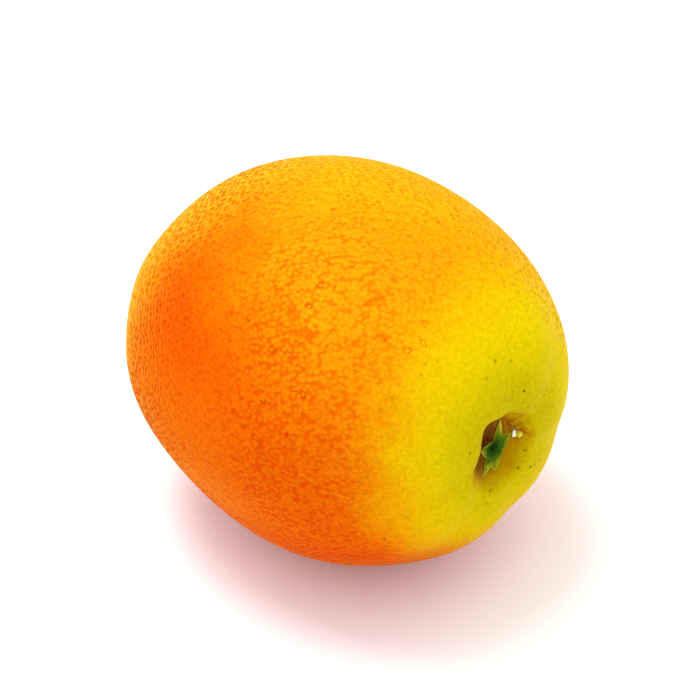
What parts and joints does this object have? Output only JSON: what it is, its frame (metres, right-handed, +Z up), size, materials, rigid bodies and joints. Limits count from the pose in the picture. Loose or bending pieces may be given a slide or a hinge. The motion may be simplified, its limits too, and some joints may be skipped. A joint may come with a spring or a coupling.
{
  "type": "orange",
  "caption": "Whole oval orange lying on its side, with a pebbled rind, a sunken stem end, its calyx star and a drop of dried sap.",
  "frame": {"origin": "middle of the flat spot on the underside that the fruit rests on", "axes": "+Z up; +X along the fruit's long axis, towards the stem end; +Y completes the right-handed frame"},
  "size_m": [0.0892, 0.0786, 0.0779],
  "materials": {
    "rind": "orange rind, waxy and pebbled, yellow-green round the stem",
    "calyx": "matte green sepals with straw-coloured tips",
    "sap": "clear glossy drop, hardened"
  },
  "bodies": {
    "root": {"fruit": "rind", "calyx": "calyx", "sap_bead": "sap"}
  },
  "joints": []
}
